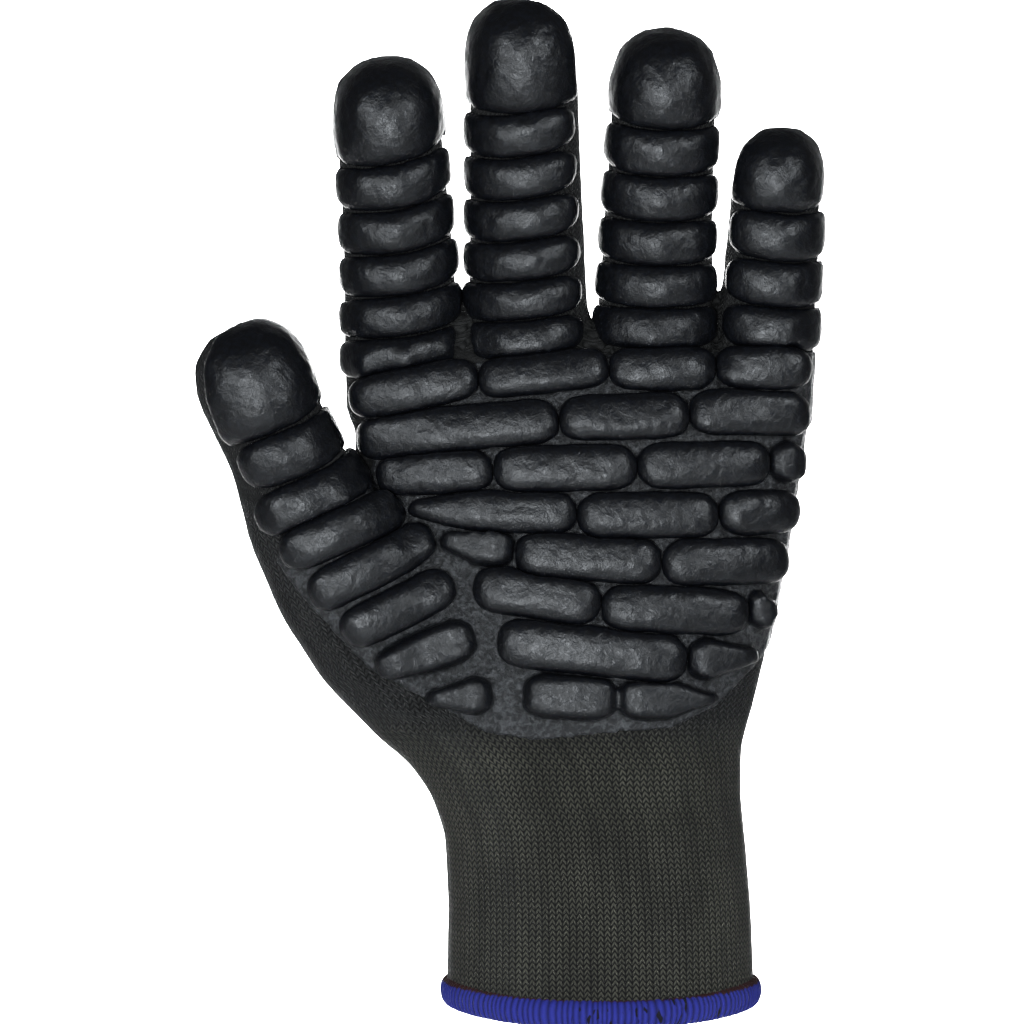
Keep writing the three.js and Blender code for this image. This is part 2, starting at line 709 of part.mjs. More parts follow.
function bar(row, grow = 0, sink = 0) {
  const from = seatPoint(palmX(row.from), palmZ(row.dropFrom));
  const to = seatPoint(palmX(row.to), palmZ(row.dropTo));
  const direction = new THREE.Vector3(to.x - from.x, 0, to.z - from.z);
  const length = direction.length() - groove + 2 * grow;
  direction.normalize();
  const height = row.tall * rowPitch - groove + 2 * grow;
  const start = groove / 2 - grow;
  const ends = barStations.map((station) => ({
    ...station, at: Math.min(station.end * height, 0.48 * length),
  }));
  const middles = Math.max(0, Math.round(length / rowPitch) - 1);
  const stations = ends.map((end) => ({ ...end, taper: row.taperFrom ?? 1 }));
  for (let i = 1; i <= middles; i += 1) {
    const low = ends[2].at;
    stations.push({ at: mix(low, length - low, i / (middles + 1)), width: 1, height: 1, taper: 1 });
  }
  for (const end of [...ends].reverse()) {
    stations.push({ ...end, at: length - end.at, taper: row.taperTo ?? 1 });
  }
  const across = new THREE.Vector3(-direction.z, 0, direction.x);
  const rings = stations.map((station) => {
    const x = from.x + direction.x * (start + station.at);
    const z = from.z + direction.z * (start + station.at);
    const half = (height / 2) * station.width * station.taper;
    const up = seatPoint(x + across.x * half, z + across.z * half);
    const down = seatPoint(x - across.x * half, z - across.z * half);
    const width = up.clone().sub(down).normalize();
    const ahead = seatPoint(x + direction.x * 2, z + direction.z * 2);
    const behind = seatPoint(x - direction.x * 2, z - direction.z * 2);
    const along = ahead.sub(behind).normalize();
    const out = along.cross(width).normalize();
    if (out.y > 0) {
      out.negate();
    }
    const seat = seatPoint(x, z);
    return barSection.map((point) => {
      const edge = mix(down.y, up.y, point.across + 0.5);
      const base = new THREE.Vector3(
        x + across.x * half * 2 * point.across,
        Math.min(edge, mix(edge, seat.y, 1 - Math.abs(2 * point.across))),
        z + across.z * half * 2 * point.across,
      );
      const lift = point.height === 0 ? -grow - sink
        : point.height * barThickness * station.height + grow;
      return base.addScaledVector(out, lift);
    });
  });
  return loft(rings);
}

// A bar whose flat underside dips into the film is hollowed to lie on it
const filmClearance = handForm(filmTop + gap / 3, bodySides, fingerSides);
function seated(shape) {
  return shape.intersect(filmClearance).volume() > 0 ? shape.subtract(seatForm) : shape;
}

// Room kept round each bar for the pads made after it
const padClear = 3 * gap;
const grownBars = [];
const rowCounts = {};
// Small bars, most at the edge of the palm, are moulded onto the film
const mouldedOn = new Set([
  'palm_bar_3_4', 'palm_bar_5_1', 'palm_bar_6_3', 'palm_bar_7_2', 'palm_bar_8_1', 'palm_bar_8_2',
]);
const moulded = [];
const padSink = padSeat + 2 * gap;
for (const row of palmBars) {
  rowCounts[row.row] = (rowCounts[row.row] ?? 0) + 1;
  const name = `palm_bar_${row.row}_${rowCounts[row.row]}`;
  const fused = mouldedOn.has(name);
  const shape = grownBars.reduce((rest, other) => rest.subtract(other), bar(row, 0, fused ? padSink : 0));
  if (fused) {
    moulded.push(shape.subtract(filmUnderside));
  } else {
    solids[name] = seated(shape);
  }
  grownBars.push(bar(row, padClear));
}

thumbBars.forEach((row, index) => {
  const fused = index >= thumbBars.length - 2;
  const shape = bar(row, 0, fused ? padSink : 0).subtract(joined(grownBars));
  if (fused) {
    moulded.push(shape.subtract(filmUnderside));
  } else {
    solids[`thumb_rib_${index + 3}`] = seated(shape);
  }
  grownBars.push(bar(row, padClear));
});

solids.palm_film = joined([film, ...moulded]);

const filmSpread = new THREE.Shape(filmOutline.getPoints().map((point) => {
  const centre = new THREE.Vector2(0, palmZ(4));
  const out = point.clone().sub(centre);
  return centre.add(out.setLength(out.length() + 2 * gap));
}));
const filmClear = seatForm.intersect(fromGeometry(
  new THREE.ExtrudeGeometry(filmSpread, { depth: blockSize, bevelEnabled: false })
    .rotateX(Math.PI / 2),
));
// Room that belongs to each finger's own ribs
const ribRoom = {
  side: webGap / 2 + 2 * gap,
  front: ribSeat + ribThickness + gap,
  tip: gap,
};
const ribClear = joined([body(gap, bodySides), filmClear, ...grownBars]);
for (const finger of allFingers) {
  const pad = finger.pad * tipPadLength;
  const bare = finger === thumb ? bareThumb * finger.length : 0;
  const covered = finger.length - bare + finger.run * rowPitch - pad;
  // The ribs are a little wider towards the tip
  const edgeAt = (share) => finger.length - pad - covered * share * (1 + ribFade * (1 - share));
  const neighbours = joined(fingers.filter((other) => other !== finger).map((other) => (
    fingerSolid(other, ribRoom, 2 * fingerSides)
  )));
  solids[`tip_pad_${finger.name}`] = tipPad(finger);
  for (let i = 0; i < finger.ribs; i += 1) {
    const high = edgeAt(i / finger.ribs);
    const low = edgeAt((i + 1) / finger.ribs);
    solids[`${finger.name}_rib_${i + 1}`] = rib(finger, (high + low) / 2, high - low - groove)
      .subtract(ribClear)
      .subtract(neighbours);
  }
}

const rubber = { color: 0x1b1c1f, roughness: 0.45, metalness: 0 };
const knit = { color: 0x26261f, roughness: 0.9, metalness: 0 };
const coated = { color: 0x17181b, roughness: 0.5, metalness: 0 };
const hemYarn = { color: 0x2b33b0, roughness: 0.85, metalness: 0 };

function finishFor(name) {
  if (name.startsWith('knit_')) {
    return knit;
  }
  if (name === 'cuff_hem') {
    return hemYarn;
  }
  return name === 'palm_film' ? coated : rubber;
}

const glove = new THREE.Group();
glove.name = 'anti_vibration_glove';
for (const [name, shape] of Object.entries(solids)) {
  const material = new THREE.MeshStandardMaterial(finishFor(name));
  const mesh = new THREE.Mesh(toGeometry(trimmed(shape)), material);
  mesh.name = name;
  glove.add(mesh);
}

export default glove;
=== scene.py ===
"""Knitted work glove with thick soft rubber pads: cloth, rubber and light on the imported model."""
import math

import bmesh
import bpy
import numpy as np
from mathutils import Matrix, Vector
from mathutils.bvhtree import BVHTree


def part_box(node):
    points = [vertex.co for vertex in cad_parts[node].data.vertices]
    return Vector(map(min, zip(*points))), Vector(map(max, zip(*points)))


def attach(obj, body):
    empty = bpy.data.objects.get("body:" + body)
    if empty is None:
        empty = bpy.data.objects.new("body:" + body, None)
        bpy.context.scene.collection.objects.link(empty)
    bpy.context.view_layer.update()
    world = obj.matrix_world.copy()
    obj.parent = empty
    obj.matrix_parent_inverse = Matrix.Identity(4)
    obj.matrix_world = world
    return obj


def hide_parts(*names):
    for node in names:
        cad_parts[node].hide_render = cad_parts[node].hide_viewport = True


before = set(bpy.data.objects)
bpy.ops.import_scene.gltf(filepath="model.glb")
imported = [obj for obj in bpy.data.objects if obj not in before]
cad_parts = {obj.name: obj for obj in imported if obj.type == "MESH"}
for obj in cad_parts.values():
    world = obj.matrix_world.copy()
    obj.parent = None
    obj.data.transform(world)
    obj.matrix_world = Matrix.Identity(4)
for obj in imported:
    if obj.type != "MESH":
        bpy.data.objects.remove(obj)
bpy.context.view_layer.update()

MM = 0.001
NODES = sorted(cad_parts)
KNIT_NODES = [name for name in NODES if name.startswith("knit_")]
FINGERS = ("index", "middle", "ring", "little", "thumb")

# Liner: its wall, how it is rounded, and the height where its mouth is cut
KNIT_WALL = 1.8 * MM
PANEL_SWELL = 0.3 * MM
PANEL_WELD = 0.01 * MM
LINER_VOXEL = 1.5 * MM
LINER_SMOOTHING = 12
LINER_SWELL = 0.45 * MM
LINER_MOUTH = 2.4 * MM
# Before the cut, the rim's lowest band is drawn down onto a plug that closes the form
RIM_BAND = 4 * MM
RIM_DRAW = 14 * MM
PLUG_DROP = 12 * MM
PLUG_HEIGHT = 6 * MM
PLUG_SIDES = 48

# Stitches: one's width and height, and the radii that a row's stitches are counted on
WALE = 1.62 * MM
COURSE = 1.35 * MM
WRIST_RADIUS = 31.8 * MM
FINGER_RADIUS = 12.4 * MM
# A finger's rows turn round its middle line, out to this reach and up from this start
FINGER_REACH = 19 * MM
FINGER_START = -12 * MM
THUMB_START = -3 * MM
OUT_OF_REACH = 1.0
ROOT_SHARE = 0.12
TIP_SHARE = 0.75
# The hand's girth is measured on rings, each cut into sectors
RING_STEP = 2.5 * MM
RING_TOP = 180 * MM
RING_SECTORS = 90
FEWEST_POINTS = 40
JUST_INSIDE = 1.001

# Yarn: painted shade between the stitches and the yarn's own tones on them, and where the cuff's
# tone gives way to the hand's.
# Where a range has four numbers, it takes the first two to the last two.
CUFF_PAINTED_SHADE = (0.003, 0.003, 0.0023)
CUFF_YARN = (0.088, 0.086, 0.066)
HAND_PAINTED_SHADE = (0.0015, 0.0015, 0.0015)
HAND_YARN = (0.024, 0.024, 0.0235)
CUFF_FADE = (62 * MM, 76 * MM, 1.0, 0.0)
# One stitch, in shares of its width and height
STITCH_LEAN = 1.7
LEG_MIDDLE = 0.2
LEG_HALF = 0.3
LEG_ROUND = 0.6
LEG_LEAST = 0.001
WANDER_ACROSS = 0.3
WANDER_ALONG = 0.5
YARN_WANDER = {"scale": 240, "detail": 2}
YARN_FIBRE = {"scale": 4300, "detail": 2, "rough": 0.6}
FIBRE_SHARE = 0.3
YARN_LIT = (0.35, 1.1)
# Uneven stripes along the wales, and broad uneven tone
STRIPE_WIDTH = 2.2 * WALE
STRIPE_RATE = 14
STRIPES = {"scale": 1.0, "detail": 2}
STRIPE_TONE = (0.34, 0.62, 0.78, 1.12)
CLOUDS = {"scale": 60}
CLOUD_TONE = (0.3, 0.75, 0.75, 1.15)
YARN_ROUGHNESS = (0.3, 0.7, 0.6, 0.85)
YARN_FINISH = {"Sheen Weight": 0.05, "Sheen Roughness": 0.4, "Specular IOR Level": 0.3}
YARN_RELIEF = {"strength": 1.0, "distance": 0.8 * MM}

# Rubber: voxels and swelling of pads and film, and their dents as size and depth
PAD_VOXEL = 0.62 * MM
PAD_SMOOTHING = 16
PAD_SWELL = 0.62 * MM
PAD_DENTS = ((7 * MM, 0.55 * MM), (2.4 * MM, 0.2 * MM))
PAD_SHIFT = (0.21, 0.17, 0.13)
PAD_SHIFT_CYCLE = 7
FILM_VOXEL = 0.52 * MM
FILM_SMOOTHING = 18
FILM_SWELL = 0.18 * MM
FILM_DENTS = (5 * MM, 0.4 * MM)
FILM_SHIFT = (0.31, 0.12, 0.4)
# Bare film lies this close to the knit, and the bars moulded onto it begin past the rise
FILM_CLOSE = 1.6 * MM
FILM_RISE = 1.0 * MM

# Rubber's tones, with painted shade in the pores and painted sheen on the film's raised skin, and
# its patterns, from fine to broad
RUBBER_PIT_PAINTED_SHADE = (0.002, 0.0023, 0.0034)
RUBBER_SKIN = (0.005, 0.006, 0.0088)
FILM_PITS = (0.006, 0.0065, 0.0075)
FILM_PAINTED_SHEEN = (0.05, 0.052, 0.056)
GRAIN = {"scale": 1900, "detail": 2, "rough": 0.6}
PORES = {"scale": 800, "rough": 0.55, "distortion": 0.6}
STREAKS = {"scale": 620, "detail": 5, "rough": 0.7, "distortion": 2.2}
WRINKLES = {"scale": 330, "detail": 4, "rough": 0.6, "distortion": 1.4}
HOLLOWS = {"scale": 120}
RAISED_SKIN_RANGE = (0.4, 0.66)
CREASES = (0.0, 0.035)
CREASE_SHARE = 0.06
PORE_SHARE = 0.6
GRAIN_RELIEF = {"strength": 0.6, "distance": 0.08 * MM}
PORE_RELIEF = {"strength": 0.5, "distance": 0.17 * MM}
CRACKLE_RELIEF = {"strength": 0.85, "distance": 0.45 * MM}
WRINKLE_RELIEF = {"strength": 0.35, "distance": 0.6 * MM}
HOLLOW_RELIEF = {"strength": 0.3, "distance": 1.6 * MM}
PAD_ROUGHNESS = (0.0, 1.0, 0.37, 0.3)
FILM_ROUGHNESS = 0.32
BARE_FILM_SMOOTHER = -0.04
FILM_SPECK_ROUGHNESS = (0.0, 1.0, 0.14, 0.0)
RUBBER_FINISH = {"Specular IOR Level": 0.5}

# Hem: stretched down from a height in the cuff, rounded, and wrapped in uneven threads
HEM_SAG = 1.3
HEM_HOLD = 5 * MM
HEM_VOXEL = 0.36 * MM
HEM_SMOOTHING = 3
HEM_SWELL = 0.1 * MM
HEM_WRAPS = 170
WRAP_DRIFTS = ((0.35, 61), (0.2, 173))
WRAP_ROUND = 0.7
WRAP_DEPTH = 0.42 * MM
# How much lower the hem hangs at palm and back than at its sides, and how sharply it rises
HEM_DIP = 2.6 * MM
HEM_DIP_SHARPNESS = 2.45

# Hem yarn: blue, with painted shade between its threads, a dark red edge, and dark marks of the
# seam on part of its front
BLUE_PAINTED_SHADE = (0.008, 0.01, 0.1)
BLUE_YARN = (0.026, 0.034, 0.33)
RED_THREAD = (0.03, 0.006, 0.006)
SEAM_MARKS = (0.003, 0.003, 0.012)
HEM_FIBRE = {"scale": 3600, "rough": 0.6}
HEM_STRAND_SHARE = 0.6
HEM_FIBRE_SHARE = 0.7
HEM_LIT = (0.25, 1.1)
EDGE_WANDER = {"scale": 900, "detail": 2}
EDGE_RAGGED = 1.1 * MM
RED_EDGE = (5.1 * MM, 5.5 * MM)
MARK_SPACING = 0.9
MARK_RATE = 260
MARKS = {"scale": 1.0, "detail": 1}
MARK_TONE = (0.6, 0.64)
SEAM_LEFT = (-9 * MM, -6 * MM)
SEAM_RIGHT = (31 * MM, 34 * MM, 1.0, 0.0)
SEAM_FRONT = (-10 * MM, -5 * MM, 1.0, 0.0)
HEM_FINISH = {"Sheen Weight": 0.1, "Sheen Roughness": 0.4, "Specular IOR Level": 0.3}
HEM_RELIEF = {"strength": 0.8, "distance": 0.35 * MM}

# Studio, in metres: the camera looks straight at the middle of the picture
SENSOR = 36.0
CAMERA_AWAY = 1.0
PICTURE_WIDTH = 256 * MM
PICTURE_MIDDLE = (-22 * MM, 124.2 * MM)
# Area lights: place and watts
LAMPS = {"front": ((-0.12, -1.35, 0.02), 9),
         "left": ((-0.75, -1.05, 0.22), 4.2),
         "right": ((0.8, -1.0, 0.5), 5)}
LAMP_SIZE = 0.26
LAMP_TONE = (0.9, 0.955, 1.0)
LAMP_AIM = (-0.01, -0.01, 0.13)
# A spot lights the wall behind
SPOT_WATTS = 700
SPOT_ANGLE = math.radians(62)
SPOT_BLEND = 0.5
SPOT_SIZE = 0.1
SPOT_PLACE = (-0.02, 0.35, 0.75)
SPOT_AIM = (-0.02, 1.6, 0.1)
WORLD_TONE = (1, 1, 1, 1)
WORLD_STRENGTH = 0.05
FLOOR_SIZE = (5, 2.6)
FLOOR_PLACE = (0, 0.3, -0.32)
FLOOR_BACK = 1.5
WALL_HEIGHT = 3
BEND_WIDTH = 0.7
BEND_SEGMENTS = 16
FLOOR_TONES = ((0.86, 0.86, 0.86), (0.9, 0.9, 0.9))
FLOOR_ROUGHNESS = 0.8
FLOOR_NOISE = {"scale": 3}


def deselect():
    bpy.ops.object.select_all(action="DESELECT")


def pick(piece):
    deselect()
    piece.select_set(True)
    bpy.context.view_layer.objects.active = piece


def open_mesh(piece, action="SELECT"):
    """Edit mode, with the whole mesh selected or, by DESELECT, none of it."""
    pick(piece)
    bpy.ops.object.mode_set(mode="EDIT")
    bpy.ops.mesh.select_all(action=action)


def close_mesh():
    bpy.ops.object.mode_set(mode="OBJECT")


def copied(name, nodes, weld=0.02 * MM):
    """A merged mesh from copies of CAD nodes, which stay as they are."""
    shape = bmesh.new()
    for node in nodes:
        shape.from_mesh(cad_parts[node].data)
    bmesh.ops.remove_doubles(shape, verts=shape.verts, dist=weld)
    mesh = bpy.data.meshes.new(name)
    shape.to_mesh(mesh)
    shape.free()
    piece = bpy.data.objects.new(name, mesh)
    bpy.context.scene.collection.objects.link(piece)
    return piece


def apply(piece, kind, **settings):
    """One modifier, set and applied."""
    pick(piece)
    modifier = piece.modifiers.new(kind.title(), kind)
    for key, value in settings.items():
        setattr(modifier, key, value)
    bpy.ops.object.modifier_apply(modifier=modifier.name)


def rounded(piece):
    apply(piece, "SUBSURF", levels=2, render_levels=2)


def remeshed(piece, voxel):
    apply(piece, "REMESH", mode="VOXEL", voxel_size=voxel)


def smoothed(piece, repeat):
    apply(piece, "SMOOTH", factor=0.5, iterations=repeat)


def swollen(piece, amount):
    apply(piece, "DISPLACE", strength=amount, mid_level=0.0)


def dented(piece, size, depth, shift):
    """Cloudy dents of a size and depth. The shift gives each piece its own."""
    texture = bpy.data.textures.new(f"dents_{piece.name}_{size:.4f}", "CLOUDS")
    texture.noise_scale = size
    texture.noise_depth = 2
    piece.data.transform(Matrix.Translation(shift))
    apply(piece, "DISPLACE", texture=texture, texture_coords="LOCAL",
          strength=depth, mid_level=0.5)
    piece.data.transform(Matrix.Translation(-shift))


def finished(piece, material, nodes):
    piece.data.materials.append(material)
    piece.data.shade_smooth()
    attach(piece, "root")
    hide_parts(*nodes)
    return piece


class Nodes:
    """Short calls for a material's nodes and links."""

    def __init__(self, name):
        self.material = bpy.data.materials.new(name)
        self.material.use_nodes = True
        self.tree = self.material.node_tree
        self.shader = self.tree.nodes["Principled BSDF"]

    def add(self, kind, **settings):
        node = self.tree.nodes.new(kind)
        for key, value in settings.items():
            setattr(node, key, value)
        return node

    def link(self, output, socket):
        self.tree.links.new(output, socket)

    def drive(self, socket, output):
        """Links an output to a socket of the shader."""
        self.link(output, self.shader.inputs[socket])

    def finish(self, settings):
        """Numbers that are the same all over, on the shader's own sockets."""
        for socket, value in settings.items():
            self.shader.inputs[socket].default_value = value

    def place(self):
        return self.add("ShaderNodeTexCoord").outputs["Object"]

    def split(self, vector):
        node = self.add("ShaderNodeSeparateXYZ")
        self.link(vector, node.inputs[0])
        return tuple(node.outputs)

    def surface(self, name):
        """Both coordinates of a UV map of the piece."""
        return self.split(self.add("ShaderNodeUVMap", uv_map=name).outputs["UV"])[:2]

    def plane(self, x, y):
        node = self.add("ShaderNodeCombineXYZ")
        self.link(x, node.inputs["X"])
        self.link(y, node.inputs["Y"])
        return node.outputs[0]

    def math(self, operation, a, b=None):
        node = self.add("ShaderNodeMath", operation=operation)
        for socket, value in zip(node.inputs, (a, b)):
            if isinstance(value, (int, float)):
                socket.default_value = value
            elif value is not None:
                self.link(value, socket)
        return node.outputs[0]

    def noise(self, vector, scale, detail=3.0, rough=0.5, distortion=0.0):
        node = self.add("ShaderNodeTexNoise")
        node.inputs["Scale"].default_value = scale
        node.inputs["Detail"].default_value = detail
        node.inputs["Roughness"].default_value = rough
        node.inputs["Distortion"].default_value = distortion
        self.link(vector, node.inputs["Vector"])
        return node.outputs["Fac"]

    def ramp(self, value, low, high, to_low=0.0, to_high=1.0):
        node = self.add("ShaderNodeMapRange", clamp=True, interpolation_type="SMOOTHSTEP")
        self.link(value, node.inputs["Value"])
        node.inputs["From Min"].default_value = low
        node.inputs["From Max"].default_value = high
        node.inputs["To Min"].default_value = to_low
        node.inputs["To Max"].default_value = to_high
        return node.outputs["Result"]

    def mix(self, factor, first, second, blend="MIX"):
        node = self.add("ShaderNodeMix", data_type="RGBA", blend_type=blend)
        sockets = (node.inputs[0], node.inputs[6], node.inputs[7])
        for socket, value in zip(sockets, (factor, first, second)):
            if isinstance(value, tuple):
                socket.default_value = (*value, 1.0)
            elif isinstance(value, (int, float)):
                socket.default_value = value
            else:
                self.link(value, socket)
        return node.outputs[2]

    def bump(self, height, normal=None, *, strength, distance):
        node = self.add("ShaderNodeBump")
        node.inputs["Strength"].default_value = strength
        node.inputs["Distance"].default_value = distance
        self.link(height, node.inputs["Height"])
        if normal is not None:
            self.link(normal, node.inputs["Normal"])
        return node.outputs["Normal"]


def knit_material():
    """Dark knitted yarn: rows of V-shaped stitches on the piece's own UV map, in metres."""
    n = Nodes("knitted_yarn")
    around, along = n.surface("knit")
    place = n.place()
    wander = n.noise(place, **YARN_WANDER)
    # Each wale is mirrored about its middle, and its two legs lean outwards as they rise
    across = n.math("DIVIDE", around, WALE)
    across = n.math("ADD", across, n.math("MULTIPLY", wander, WANDER_ACROSS))
    half = n.math("ABSOLUTE", n.math("SUBTRACT", n.math("FRACT", across), 0.5))
    rise = n.math("DIVIDE", along, COURSE)
    rise = n.math("ADD", rise, n.math("MULTIPLY", wander, WANDER_ALONG))
    turn = n.math("FRACT", n.math("ADD", rise, n.math("MULTIPLY", half, STITCH_LEAN)))
    strand = n.math("SINE", n.math("MULTIPLY", turn, math.pi))
    off = n.math("DIVIDE", n.math("SUBTRACT", half, LEG_MIDDLE), LEG_HALF)
    leg = n.math("SUBTRACT", 1.0, n.math("MULTIPLY", off, off))
    leg = n.math("POWER", n.math("MAXIMUM", leg, LEG_LEAST), LEG_ROUND)
    fibre = n.noise(place, **YARN_FIBRE)
    height = n.math("ADD", n.math("MULTIPLY", strand, leg),
                    n.math("MULTIPLY", fibre, FIBRE_SHARE))
    # Painted shade: the stitch height darkens the yarn's colour in the gaps between stitches.
    lit = n.ramp(height, *YARN_LIT)
    level = n.split(place)[2]
    base = n.mix(n.ramp(level, *CUFF_FADE),
                 n.mix(lit, HAND_PAINTED_SHADE, HAND_YARN), n.mix(lit, CUFF_PAINTED_SHADE, CUFF_YARN))
    stripes = n.plane(n.math("DIVIDE", around, STRIPE_WIDTH),
                      n.math("MULTIPLY", along, STRIPE_RATE))
    stripe = n.ramp(n.noise(stripes, **STRIPES), *STRIPE_TONE)
    cloud = n.ramp(n.noise(place, **CLOUDS), *CLOUD_TONE)
    tone = n.math("MULTIPLY", cloud, stripe)
    n.drive("Base Color", n.mix(1.0, base, tone, blend="MULTIPLY"))
    n.drive("Roughness", n.ramp(fibre, *YARN_ROUGHNESS))
    n.drive("Normal", n.bump(height, **YARN_RELIEF))
    n.finish(YARN_FINISH)
    return n.material


def rubber_material(name, coated=False):
    """Black foamed rubber: pores darkened with painted shade, soft wrinkles and a speckled sheen. A
    coat is crackled too, with painted sheen on its raised skin.
    """
    n = Nodes(name)
    place = n.place()
    pores = n.noise(place, **PORES)
    wrinkle = n.noise(place, **WRINKLES)
    # Painted shade: the pores' low spots take a darker colour than the raised skin.
    raised_skin = n.ramp(pores, *RAISED_SKIN_RANGE)
    skin_and_painted_light = n.mix(raised_skin, RUBBER_PIT_PAINTED_SHADE, RUBBER_SKIN)
    ridge = n.math("ABSOLUTE", n.math("SUBTRACT", wrinkle, 0.5))
    crease = n.math("MULTIPLY", n.ramp(ridge, *CREASES), CREASE_SHARE)
    normal = n.bump(n.noise(place, **HOLLOWS), **HOLLOW_RELIEF)
    normal = n.bump(n.math("ADD", wrinkle, crease), normal, **WRINKLE_RELIEF)
    if coated:
        # Only the thin coat is crackled and greyer, its raised skin painted lighter as sheen. The
        # bars moulded onto it look like pads.
        thick = n.add("ShaderNodeAttribute", attribute_name="thick").outputs["Fac"]
        thin = n.math("SUBTRACT", 1.0, thick)
        crackle = n.math("ADD", n.noise(place, **STREAKS),
                         n.math("MULTIPLY", pores, PORE_SHARE))
        normal = n.bump(n.math("MULTIPLY", crackle, thin), normal, **CRACKLE_RELIEF)
        skin_and_painted_light = n.mix(thin, skin_and_painted_light, n.mix(raised_skin, FILM_PITS, FILM_PAINTED_SHEEN))
        roughness = n.math("ADD", n.math("MULTIPLY", thin, BARE_FILM_SMOOTHER), FILM_ROUGHNESS)
        roughness = n.math("ADD", roughness, n.ramp(raised_skin, *FILM_SPECK_ROUGHNESS))
    else:
        roughness = n.ramp(raised_skin, *PAD_ROUGHNESS)
    normal = n.bump(pores, normal, **PORE_RELIEF)
    normal = n.bump(n.noise(place, **GRAIN), normal, **GRAIN_RELIEF)
    n.drive("Base Color", skin_and_painted_light)
    n.drive("Roughness", roughness)
    n.drive("Normal", normal)
    n.finish(RUBBER_FINISH)
    return n.material


def hem_material():
    """Blue overlock yarn, with a thread of dark red where it meets the cuff."""
    n = Nodes("overlock_yarn")
    wrap, level = n.surface("hem")
    place = n.place()
    side, depth, _ = n.split(place)
    fibre = n.noise(place, **HEM_FIBRE)
    strand = n.math("ABSOLUTE", n.math("SINE", n.math("MULTIPLY", wrap, math.pi)))
    height = n.math("ADD", n.math("MULTIPLY", strand, HEM_STRAND_SHARE),
                    n.math("MULTIPLY", fibre, HEM_FIBRE_SHARE))
    # Painted shade: the threads' height darkens the blue in the gaps between them.
    blue = n.mix(n.ramp(height, *HEM_LIT), BLUE_PAINTED_SHADE, BLUE_YARN)
    ragged = n.math("MULTIPLY", n.noise(place, **EDGE_WANDER), EDGE_RAGGED)
    red = n.ramp(n.math("ADD", level, ragged), *RED_EDGE)
    base = n.mix(red, blue, RED_THREAD)
    marks = n.plane(n.math("MULTIPLY", wrap, MARK_SPACING), n.math("MULTIPLY", level, MARK_RATE))
    marked = n.ramp(n.noise(marks, **MARKS), *MARK_TONE)
    seam = n.math("MULTIPLY", n.ramp(side, *SEAM_LEFT), n.ramp(side, *SEAM_RIGHT))
    seam = n.math("MULTIPLY", seam, n.ramp(depth, *SEAM_FRONT))
    n.drive("Base Color", n.mix(n.math("MULTIPLY", marked, seam), base, SEAM_MARKS))
    n.drive("Roughness", n.ramp(fibre, *YARN_ROUGHNESS))
    n.drive("Normal", n.bump(height, **HEM_RELIEF))
    n.finish(HEM_FINISH)
    return n.material


def points_of(mesh):
    points = np.empty(len(mesh.vertices) * 3)
    mesh.vertices.foreach_get("co", points)
    return points.reshape(-1, 3)


def corner_table(mesh):
    """Vertex of each face corner, and that of the first corner of its face."""
    corners = np.empty(len(mesh.loops), dtype=np.int64)
    mesh.loops.foreach_get("vertex_index", corners)
    starts = np.empty(len(mesh.polygons), dtype=np.int64)
    totals = np.empty(len(mesh.polygons), dtype=np.int64)
    mesh.polygons.foreach_get("loop_start", starts)
    mesh.polygons.foreach_get("loop_total", totals)
    return corners, corners[np.repeat(starts, totals)]


def beside(here, first, turn=1.0):
    """Corner values on a ring, moved by whole turns to lie beside their face's first corner."""
    return here - np.round((here - first) / turn) * turn


def lay_map(mesh, name, across, along):
    """A UV map from two values for each face corner."""
    layer = mesh.uv_layers.new(name=name)
    layer.data.foreach_set("uv", np.stack([across, along], axis=1).astype(np.float32).ravel())


def whole_glove(name):
    """All panels of the liner as one smooth closed form, run down past the wrist."""
    form = copied(name, KNIT_NODES, weld=PANEL_WELD)
    swollen(form, PANEL_SWELL)
    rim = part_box("knit_cuff")[0].z
    open_mesh(form, "DESELECT")
    bpy.ops.mesh.select_mode(type="VERT")
    shape = bmesh.from_edit_mesh(form.data)
    for vertex in shape.verts:
        vertex.select = vertex.co.z < rim + RIM_BAND
    shape.select_flush_mode()
    bmesh.update_edit_mesh(form.data)
    bpy.ops.transform.translate(value=(0, 0, -RIM_DRAW))
    bpy.ops.mesh.select_all(action="DESELECT")
    bpy.ops.mesh.primitive_cylinder_add(vertices=PLUG_SIDES, radius=1, depth=1,
                                        location=(0, 0, 0))
    low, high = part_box("cuff_hem")
    bpy.ops.transform.resize(value=((high.x - low.x) / 2, (high.y - low.y) / 2, PLUG_HEIGHT))
    bpy.ops.transform.translate(value=(0, 0, rim - PLUG_DROP))
    close_mesh()
    remeshed(form, LINER_VOXEL)
    # The remesh leaves the hollow's inner side as loose shells. Only the outer form stays.
    open_mesh(form)
    bpy.ops.mesh.separate(type="LOOSE")
    close_mesh()
    parts = [form] + [part for part in bpy.context.selected_objects if part is not form]
    parts.sort(key=lambda part: part.dimensions.z * part.dimensions.x, reverse=True)
    for part in parts[1:]:
        bpy.data.objects.remove(part)
    form = parts[0]
    form.name = form.data.name = name
    return form


def finger_axes():
    """Root and tip of each finger's middle line, from its knitted tube."""
    axes = {}
    for finger in FINGERS:
        points = points_of(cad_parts[f"knit_{finger}"].data)
        height = points[:, 2]
        root = points[height <= np.quantile(height, ROOT_SHARE)].mean(0)
        tip = points[height >= np.quantile(height, TIP_SHARE)].mean(0)
        axes[finger] = (root, tip)
    return axes


